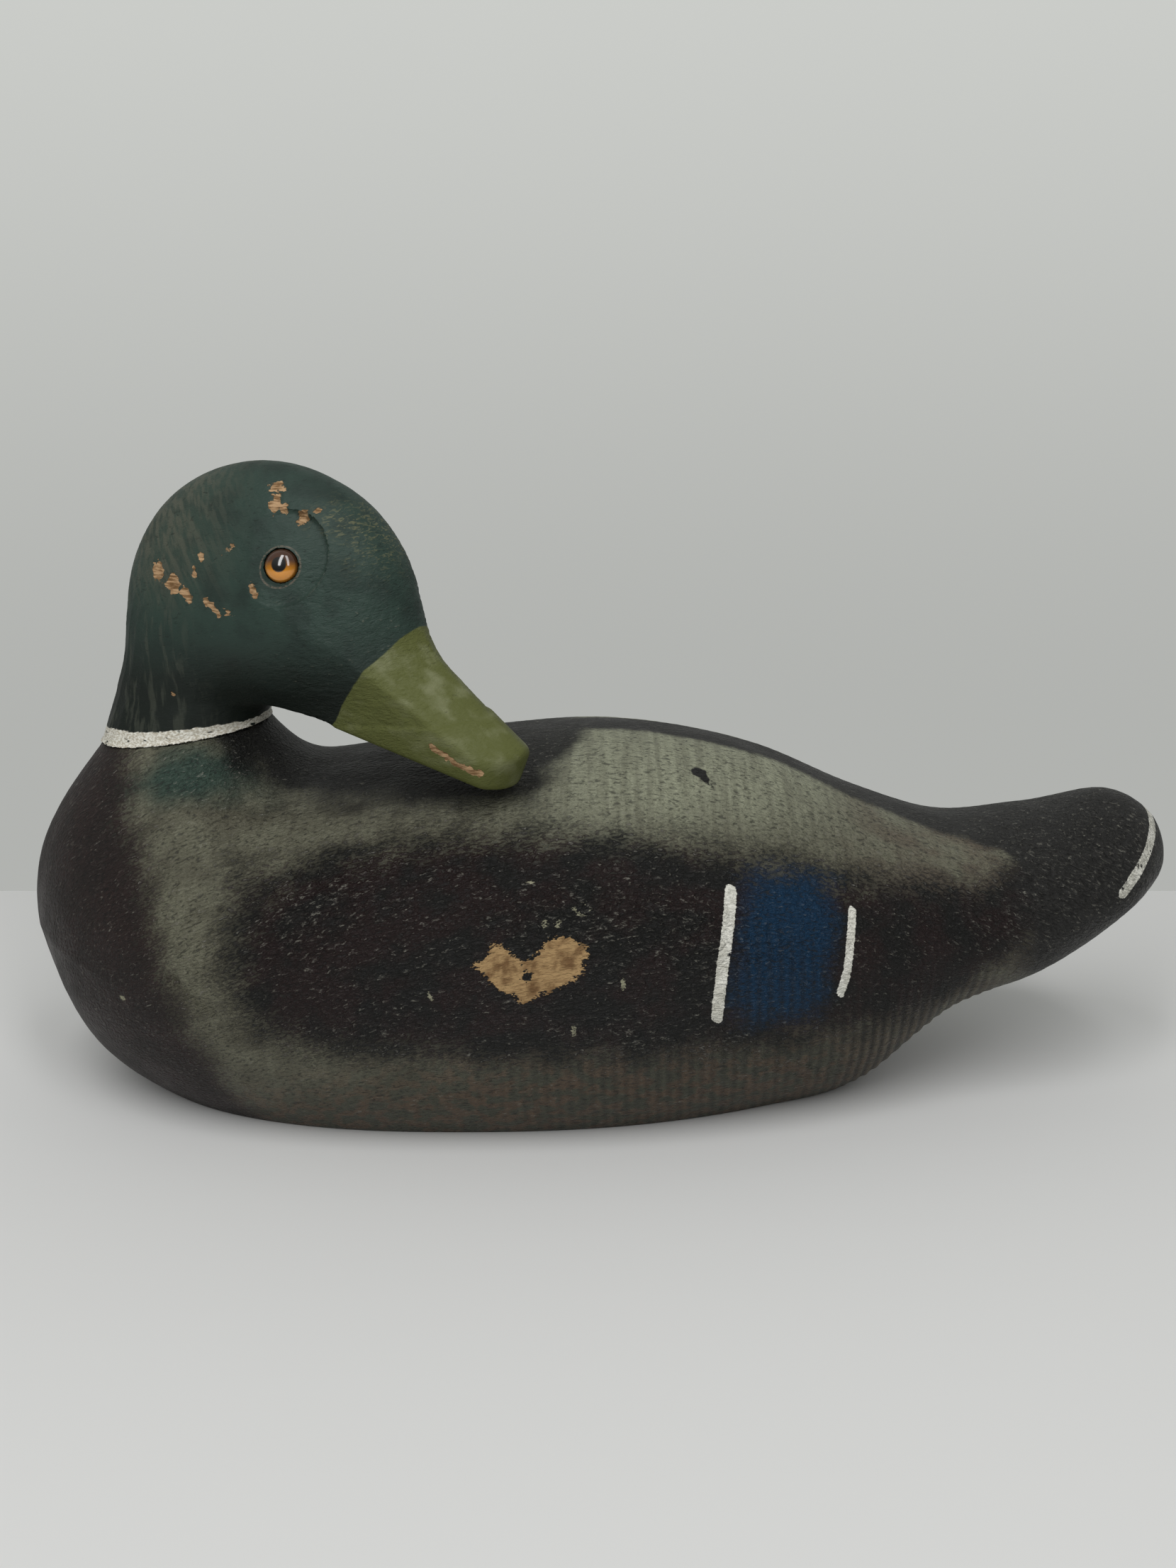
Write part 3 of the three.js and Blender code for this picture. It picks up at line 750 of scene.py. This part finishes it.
def body_material():
    paint = Finish("body_paint")
    wrinkle = paint.noise(0.8, (2.4, 1.3, 1), detail=3.0, distortion=0.5)
    fine = paint.noise(0.4, (1.8, 1, 1), detail=2.0)
    coarse = paint.noise(2.0, (1.7, 1.2, 1), detail=3.0, distortion=0.8)
    mottle = paint.noise(11, (1.3, 1, 1), detail=4.0)
    cloud = paint.noise(4.5, detail=3.0)
    streaks = paint.noise(0.8, (16, 1.5, 1), detail=3.0)
    bands = paint.noise(2.2, (1, 14, 14), detail=3.0)
    length, height = paint.axis(0), paint.axis(2)
    low = paint.ramp(height, 60, 40)
    ribs = paint.times(paint.ribs(), paint.field("ribs"))
    worn = paint.field("worn")

    color = paint.mix(paint.ramp(mottle, 0.35, 0.7), GREY, GREY_DULL)
    # Paler grey on the top of the back, from about x = -40 on: painted light where the overhead light falls
    painted_top_light = paint.times(paint.ramp(paint.wander(height, mottle, 14), 88, 108), paint.ramp(length, -40, 10))
    color = paint.mix(painted_top_light, color, GREY_PAINTED_LIGHT)
    color = paint.mix(paint.ramp(bands, 0.42, 0.68, 0, 0.35), color, GREY_DULL)
    flank = paint.mix(paint.ramp(cloud, 0.42, 0.58), FLANK, FLANK_BROWN)
    color = paint.mix(paint.ramp(paint.wander(height, mottle, 16), 52, 22), color, flank)
    rump = paint.times(paint.ramp(length, 62, 100), paint.ramp(mottle, 0.3, 0.6))
    color = paint.mix(rump, color, RUMP)
    color = paint.mix(paint.ramp(paint.wander(paint.field("teal"), mottle, 14), -4, 6, 0, 0.85), color, TEAL)
    # Painted shadow of the head and bill on the back, partly dark paint there
    shade = paint.wander(paint.wander(paint.field("shade"), mottle, 24), wrinkle, 24)
    color = paint.mix(paint.ramp(shade, -10, 9, 0, 0.97), color, BLACK_PAINT_AND_SHADE)

    dark = paint.mix(paint.ramp(mottle, 0.4, 0.62), MAROON, BLACK_PAINT_AND_SHADE)
    drawn = paint.wander(paint.field("breast"), streaks, paint.times(low, 16))
    breast = paint.wander(paint.wander(drawn, mottle, 8), wrinkle, 30)
    color = paint.mix(paint.ramp(breast, -8, 6), color, paint.mix(0.5, dark, BREAST))
    panel = paint.wander(paint.wander(paint.field("panel"), wrinkle, 36), mottle, 16)
    color = paint.mix(paint.ramp(panel, -8, 7), color, dark)
    tail = paint.ramp(paint.wander(paint.wander(length, mottle, 24), wrinkle, 24), 116, 140)
    color = paint.mix(tail, color, CHARCOAL)
    spine = paint.wander(paint.wander(paint.field("spine"), wrinkle, 8), mottle, 5)
    color = paint.mix(paint.ramp(spine, -2.5, 2), color, CHARCOAL)
    blue = paint.ramp(paint.wander(paint.wander(paint.field("blue"), wrinkle, 8), mottle, 8), -3, 6)
    color = paint.mix(blue, color, BLUE)

    # Painted shade in the grooves between the machine's ribs: darker halfway between two ridges
    color = paint.mix(paint.times(ribs, 0.75), color, BLACK_PAINT_AND_SHADE)
    # Pale flecks on the wrinkles' crests, more where the paint is worn: partly worn paint and partly painted
    # highlight
    crest_highlight_and_wear = paint.ramp(paint.math("ADD", wrinkle, paint.times(worn, 0.05)), 0.57, 0.74)
    crest_highlight_and_wear = paint.times(crest_highlight_and_wear, paint.ramp(fine, 0.38, 0.62), paint.ramp(cloud, 0.32, 0.62, 0.25, 1))
    color = paint.mix(paint.times(crest_highlight_and_wear, paint.ramp(blue, 0, 1, 0.85, 0.35)), color, FLECK_AND_HIGHLIGHT)
    # Painted shade in the wrinkles' furrows: darker where the wrinkle noise is low
    color = paint.mix(paint.ramp(wrinkle, 0.46, 0.32, 0, 0.7), color, BLACK_PAINT_AND_SHADE)
    spot = paint.ramp(paint.wander(paint.field("spot"), wrinkle, 2), -0.2, 0.2)
    color = paint.mix(spot, color, BLACK_PAINT_AND_SHADE)
    stain = paint.ramp(paint.wander(paint.field("stain"), fine, 1.4), -0.1, 0.15, 0, 0.8)
    color = paint.mix(stain, color, CREAM)
    rubbed = paint.ramp(paint.noise(2.6, (1, 1, 1.4), detail=4.0), 0.28, 0.36)
    white = paint.times(paint.ramp(paint.wander(paint.field("white"), wrinkle, 0.9), -0.1, 0.1), rubbed)
    color = paint.mix(white, color, paint.mix(paint.ramp(cloud, 0.4, 0.62), WHITE, WHITE_DULL))
    edge = paint.wander(paint.wander(paint.wander(paint.field("bare"), wrinkle, 4), fine, 2.5), cloud, 2.5)
    bare = paint.ramp(edge, -0.1, 0.1)
    grain = paint.noise(0.6, (5, 1, 1), detail=3.0, distortion=0.3)
    wood = paint.mix(paint.ramp(cloud, 0.46, 0.7), WOOD, WOOD_DARK)
    wood = paint.mix(paint.ramp(grain, 0.45, 0.7, 0, 0.5), wood, WOOD_DARK)
    color = paint.mix(bare, color, wood)

    swollen = paint.times(paint.ramp(coarse, 0.35, 0.65), paint.math("ADD", 0.4, worn))
    relief = paint.math("ADD", paint.ramp(wrinkle, 0.3, 0.7), swollen)
    relief = paint.math("ADD", relief, paint.times(fine, 0.6))
    smooth = paint.math("SUBTRACT", 1.0, paint.times(bare, 0.6))
    normal = paint.bump(paint.times(relief, smooth), 0.55, 1.0)
    normal = paint.bump(paint.times(grain, bare), 0.3, 0.8, normal)
    normal = paint.bump(paint.math("SUBTRACT", 1.0, bare), 0.3, 0.8, normal)
    normal = paint.bump(white, 0.3, 0.7, normal)
    rough = paint.math("ADD", paint.ramp(mottle, 0.3, 0.7, 0.38, 0.5), paint.times(bare, 0.3))
    return paint.finish(color, rough, normal, 0.2)


def head_material():
    paint = Finish("head_paint")
    wrinkle = paint.noise(0.85, (2.4, 2.4, 0.9), (0, 12, 0), 3.0, 0.9)
    fine = paint.noise(0.45, (1.8, 1.8, 1), detail=2.0)
    mottle = paint.noise(10, detail=4.0)
    brush = paint.noise(1.6, (9, 2, 1), (0, -55, 0), 3.0)
    drawn = paint.noise(2.0, (1, 1, 8), detail=3.0)
    height = paint.add("ShaderNodeSeparateXYZ", 2, {0: paint.place()})
    length = paint.add("ShaderNodeSeparateXYZ", 0, {0: paint.place()})
    color = paint.mix(paint.ramp(mottle, 0.4, 0.7), GREEN, (0.02, 0.034, 0.028))
    back = paint.times(paint.ramp(length, 45, 8), paint.ramp(height, 150, 178))
    color = paint.mix(paint.times(back, paint.ramp(brush, 0.4, 0.62, 0.25, 1)), color, GREEN_GREY)
    low = paint.ramp(paint.wander(height, mottle, 22), 158, 130)
    color = paint.mix(paint.times(low, 0.92), color, GREEN_BLACK)
    color = paint.mix(paint.times(paint.ramp(drawn, 0.5, 0.66, 0, 0.35), paint.ramp(length, 30, 10)),
                      color, GREEN_GREY)
    olive = paint.times(paint.ramp(paint.wander(paint.field("olive"), mottle, 14), -4, 5),
                        paint.ramp(wrinkle, 0.5, 0.68))
    color = paint.mix(paint.times(olive, 0.8), color, OLIVE)
    # Pale flecks on the wrinkles' crests: partly worn paint and partly painted highlight
    crest_highlight_and_wear = paint.times(paint.ramp(wrinkle, 0.63, 0.76), paint.ramp(fine, 0.4, 0.6), paint.field("wrinkled"))
    color = paint.mix(paint.times(crest_highlight_and_wear, 0.55), color, (0.13, 0.13, 0.1))
    # Painted shade in the wrinkles' furrows: darker where the wrinkle noise is low
    color = paint.mix(paint.ramp(wrinkle, 0.4, 0.26, 0, 0.5), color, GREEN_BLACK)
    # Painted highlight: a pale line along the front edge of the gouge round the eye, where it catches the light
    rim = paint.math("ABSOLUTE", paint.field("scoop"))
    rim = paint.times(paint.ramp(rim, 0.75, 0.1), paint.ramp(length, 58, 63), paint.ramp(fine, 0.35, 0.55))
    color = paint.mix(paint.times(rim, 0.6), color, (0.17, 0.18, 0.15))
    eye_rim = paint.ramp(paint.math("ABSOLUTE", paint.math("SUBTRACT", paint.field("eye_rim"), 0.75)), 0.4, 0.1)
    color = paint.mix(paint.times(eye_rim, paint.ramp(fine, 0.3, 0.6), 0.7), color, (0.16, 0.13, 0.1))
    # Paler green patches laid by noise: painted highlight on the bill
    bill_color = paint.mix(paint.ramp(paint.noise(7, (2, 1, 1), detail=5.0), 0.45, 0.72), BILL_GREEN, BILL_PALE)
    # Painted shade in the furrows of the bill's wrinkled paint
    bill_color = paint.mix(paint.ramp(wrinkle, 0.36, 0.2, 0, 0.6), bill_color, (0.02, 0.022, 0.006))
    # Painted shade on the bill's downward-facing under-facet: darker towards its bottom
    bill_color = paint.mix(paint.ramp(height, 122, 112, 0, 0.35), bill_color, (0.06, 0.068, 0.014))
    bill = paint.ramp(paint.wander(paint.field("bill"), mottle, 2.2), -0.25, 0.25)
    color = paint.mix(bill, color, bill_color)
    crack = paint.ramp(paint.noise(1.5, (3, 3, 0.8), detail=4.0), 0.34, 0.4)
    collar_edge = paint.wander(paint.wander(paint.field("collar"), wrinkle, 1.2), mottle, 2.4)
    collar = paint.times(paint.ramp(collar_edge, -0.15, 0.15), crack)
    color = paint.mix(collar, color, paint.mix(paint.ramp(fine, 0.3, 0.7), WHITE, (0.42, 0.38, 0.3)))
    ragged = paint.wander(paint.field("chips"), paint.noise(1.6, (1.4, 1.4, 1), detail=4.0), 3.6)
    chips = paint.ramp(ragged, -0.08, 0.1)
    bill_chip = paint.ramp(paint.wander(paint.field("bill_wood"), paint.noise(1.4, detail=4.0), 2.6), -0.08, 0.1)
    bare = paint.math("MAXIMUM", chips, bill_chip)
    grain = paint.noise(0.6, (7, 2, 1), detail=3.0)
    color = paint.mix(bare, color, paint.mix(paint.ramp(grain, 0.35, 0.65), WOOD_PALE, WOOD_DARK))
    surface = paint.math("ADD", paint.times(wrinkle, 0.8), paint.times(fine, 0.2))
    surface = paint.times(surface, paint.math("ADD", 0.25, paint.times(paint.field("wrinkled"), 0.75)))
    normal = paint.bump(surface, 0.6, 0.9)
    normal = paint.bump(paint.math("SUBTRACT", 1.0, bare), 0.25, 0.7, normal)
    rough = paint.math("ADD", paint.ramp(mottle, 0.3, 0.7, 0.46, 0.58), paint.times(bare, 0.3))
    return paint.finish(color, rough, normal, 0.2)


def eye_material():
    """Amber glass over a black pupil, with painted light: dark above and glowing below, where the light gathers.
    """
    glass = Finish("eye_glass")
    away = glass.field("away")
    rise = glass.field("rise")
    # Painted light and shade in the iris: dark amber at the top, bright amber at the bottom
    iris = glass.mix(glass.ramp(rise, 1.8, -2.6), AMBER_DARK, AMBER)
    iris = glass.mix(glass.ramp(away, 4.1, 4.9, 0, 0.85), iris, (0.03, 0.012, 0.005))
    color = glass.mix(glass.ramp(away, PUPIL_RADIUS + 0.25, PUPIL_RADIUS - 0.25), iris, (0.003, 0.003, 0.003))
    glass.put(glass.shader.inputs["Coat Weight"], 1.0)
    glass.put(glass.shader.inputs["Coat Roughness"], 0.02)
    return glass.finish(color, 0.12, None, 0.5)


def make_body():
    rings = body_rings()
    girth = ring_girths(rings).ravel()
    normal = ring_normals(rings).reshape(-1, 3)
    points = rings.reshape(-1, 3)
    fields = body_paint_fields(points, girth)
    cut = body_relief(points, girth, fields)
    outward = np.where((points[:, 2] > 0)[:, None], normal, 0)
    made = points - cut[:, None] * outward
    ends = np.array([(-BODY_LENGTH / 2, 0, BODY_STATIONS[0][2]), (BODY_LENGTH / 2, 0, BODY_STATIONS[-1][2])])
    ends[:, 0] *= 1 - 0.4 / BODY_LENGTH
    made = np.concatenate([made, ends])
    fields = {key: np.concatenate([value, value[[0, -1]]]) for key, value in fields.items()}
    grain = made - np.outer(grain_rise(made[:, 0]), (0, 0, 1))
    body = mesh_object("carved_body", made, ring_faces(rings), body_material(), fields, grain)
    body.data.set_sharp_from_angle(angle=math.radians(50))
    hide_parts("body")
    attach(body, "root")


def make_head():
    place, quads = surface_net(head_field, HEAD_LOW, HEAD_HIGH, HEAD_CELL)
    for _ in range(3):
        slope = slope_of(head_field, place)
        square = np.maximum((slope**2).sum(axis=1, keepdims=True), 0.25)
        step = head_field(*place.T)[:, None] * slope / square
        place = place - np.clip(step, -HEAD_CELL / 3, HEAD_CELL / 3)
    slope = slope_of(head_form, place)
    outward = slope / np.linalg.norm(slope, axis=1, keepdims=True)
    fields = head_paint_fields(place)
    place = place - head_relief(place, fields)[:, None] * outward
    head = mesh_object("carved_head", head_to_world(*place.T), quads.tolist(), head_material(), fields, place)
    head.data.set_sharp_from_angle(angle=math.radians(50))
    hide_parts("head")
    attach(head, "root")


def make_eye(name, node, side, material):
    """A round glass lens, with fields for its iris and pupil."""
    around, down = 48, 24
    middle, outward = EYES[side]
    upward = np.array([0, 0, 1.0])
    upward -= (upward @ outward) * outward
    upward /= np.linalg.norm(upward)
    sideways = np.cross(upward, outward)
    points, away, rise = [], [], []
    for i in range(1, down):
        lean = math.pi * i / down
        for j in range(around):
            turn = 2 * math.pi * j / around
            p, q = EYE_RADIUS * math.sin(lean) * math.cos(turn), EYE_RADIUS * math.sin(lean) * math.sin(turn)
            points.append(middle + p * sideways + q * upward + EYE_HALF * math.cos(lean) * outward)
            away.append(math.hypot(p, q) if lean < math.pi / 2 else EYE_RADIUS)
            rise.append(q)
    points += [middle + EYE_HALF * outward, middle - EYE_HALF * outward]
    away += [0, EYE_RADIUS]
    rise += [0, 0]
    rings = np.array(points[:-2]).reshape(down - 1, around, 3)
    faces = [face[::-1] for face in ring_faces(rings)]
    eye = mesh_object(name, head_to_world(*np.array(points).T), faces, material, {"away": away, "rise": rise})
    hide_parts(node)
    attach(eye, "root")


def make_camera():
    data = bpy.data.cameras.new("camera")
    data.sensor_fit = "HORIZONTAL"
    data.sensor_width = 36.0
    data.lens = data.sensor_width * FOCAL_PIXELS / PHOTO_WIDTH
    camera = bpy.data.objects.new("camera", data)
    camera.location = CAMERA_PLACE
    camera.rotation_euler = (math.pi / 2 - CAMERA_DOWN, 0, 0)
    bpy.context.scene.collection.objects.link(camera)
    bpy.context.scene.camera = camera


def make_light(name, place, aim, size, watts):
    data = bpy.data.lights.new(name, "AREA")
    data.shape = "RECTANGLE"
    data.size, data.size_y = size
    data.energy = watts
    light = bpy.data.objects.new(name, data)
    light.location = place
    light.rotation_euler = (Vector(aim) - Vector(place)).to_track_quat("-Z", "Y").to_euler()
    bpy.context.scene.collection.objects.link(light)


def make_world():
    """A pale wall to look at, and a dimmer room for the light: bright above and behind, dark in front."""
    world = bpy.data.worlds.new("room")
    bpy.context.scene.world = world
    world.use_nodes = True
    tree = world.node_tree

    def add(kind, inputs, **settings):
        node = tree.nodes.new(kind)
        for key, value in settings.items():
            setattr(node, key, value)
        for key, value in inputs.items():
            if isinstance(value, bpy.types.NodeSocket):
                tree.links.new(value, node.inputs[key])
            else:
                node.inputs[key].default_value = value
        return node.outputs

    def ramp(value, low, high, bottom, top):
        inputs = {"Value": value, "From Min": low, "From Max": high, "To Min": bottom, "To Max": top}
        return add("ShaderNodeMapRange", inputs, interpolation_type="SMOOTHSTEP")[0]

    way = add("ShaderNodeSeparateXYZ", {0: add("ShaderNodeTexCoord", {})["Generated"]})
    seen = ramp(way[2], -0.25, 0.3, 0.44, 0.62)
    above = ramp(way[2], -0.1, 0.9, 0.12, 0.35)
    behind = ramp(way[1], 0.0, 0.9, 0.0, 0.2)
    light = add("ShaderNodeMath", {0: above, 1: behind}, operation="ADD")[0]
    camera = add("ShaderNodeLightPath", {})["Is Camera Ray"]
    strength = add("ShaderNodeMix", {0: camera, 2: light, 3: seen})[0]
    background = tree.nodes["Background"]
    background.inputs["Color"].default_value = (1.0, 1.02, 0.98, 1)
    tree.links.new(strength, background.inputs["Strength"])


def make_room():
    paper = Finish("floor_paper")
    creases = paper.add("ShaderNodeTexNoise", 0, {"Scale": 14.0, "Detail": 4.0})
    material = paper.finish((0.72, 0.72, 0.715), 0.8, paper.bump(creases, 3.0, 0.25), 0.2)
    corners = np.array([(-2.5, -2.5), (2.5, -2.5), (2.5, FLOOR_BEHIND), (-2.5, FLOOR_BEHIND)]) / MM
    points = np.column_stack([corners, np.full(4, -0.2)])
    floor = mesh_object("floor", points, [(0, 1, 2, 3)], material)
    make_world()
    make_light("ceiling_left", (-0.4, -0.9, 1.15), (0, 0, 0.05), (0.3, 1.4), 9.6)
    make_light("ceiling_right", (0.4, -0.9, 1.15), (0, 0, 0.05), (0.3, 1.4), 6.4)
    bpy.context.scene.view_settings.view_transform = "Standard"


make_camera()
make_body()
make_head()
shared_glass = eye_material()
make_eye("glass_eye_right", "eye_right", -1, shared_glass)
make_eye("glass_eye_left", "eye_left", 1, shared_glass)
make_room()
